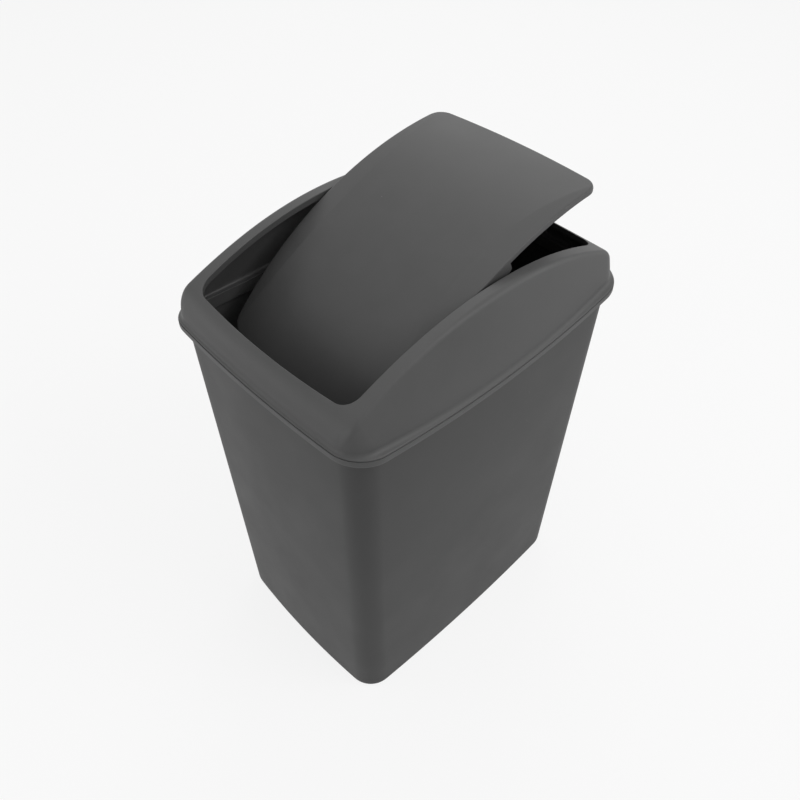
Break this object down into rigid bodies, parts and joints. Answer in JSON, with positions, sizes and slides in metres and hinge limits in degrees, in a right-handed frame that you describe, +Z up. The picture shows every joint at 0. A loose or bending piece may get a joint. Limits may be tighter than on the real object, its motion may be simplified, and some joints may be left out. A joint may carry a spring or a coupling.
{
  "type": "swing-top kitchen bin",
  "caption": "Tapered kitchen bin with a saddle-shaped rim, a lift-off arched lid frame and a curved flap that swings on stub pins at its middle.",
  "frame": {"origin": "middle of the foot, on the floor", "axes": "+Z up; +X along the length, towards the end of the flap that is shown raised; the front faces -Y"},
  "size_m": [0.3396, 0.2576, 0.4857],
  "materials": {
    "body_plastic": "matt dark grey moulding",
    "lid_plastic": "matt dark grey moulding",
    "flap_plastic": "matt dark grey moulding"
  },
  "bodies": {
    "bin": {"bin_body": "body_plastic"},
    "lid": {"lid_frame": "lid_plastic"},
    "flap": {"swing_flap": "flap_plastic"}
  },
  "joints": [
    {"name": "lid_lift", "type": "slide", "parent": "bin", "child": "lid", "axis": [0, 0, 1], "range_m": [0, 0.17]},
    {"name": "flap_swing", "type": "hinge", "parent": "lid", "child": "flap", "pos_m": [0, 0, 0.449], "axis": [0, -1, 0], "range_deg": [-104.7, 55.3]}
  ]
}
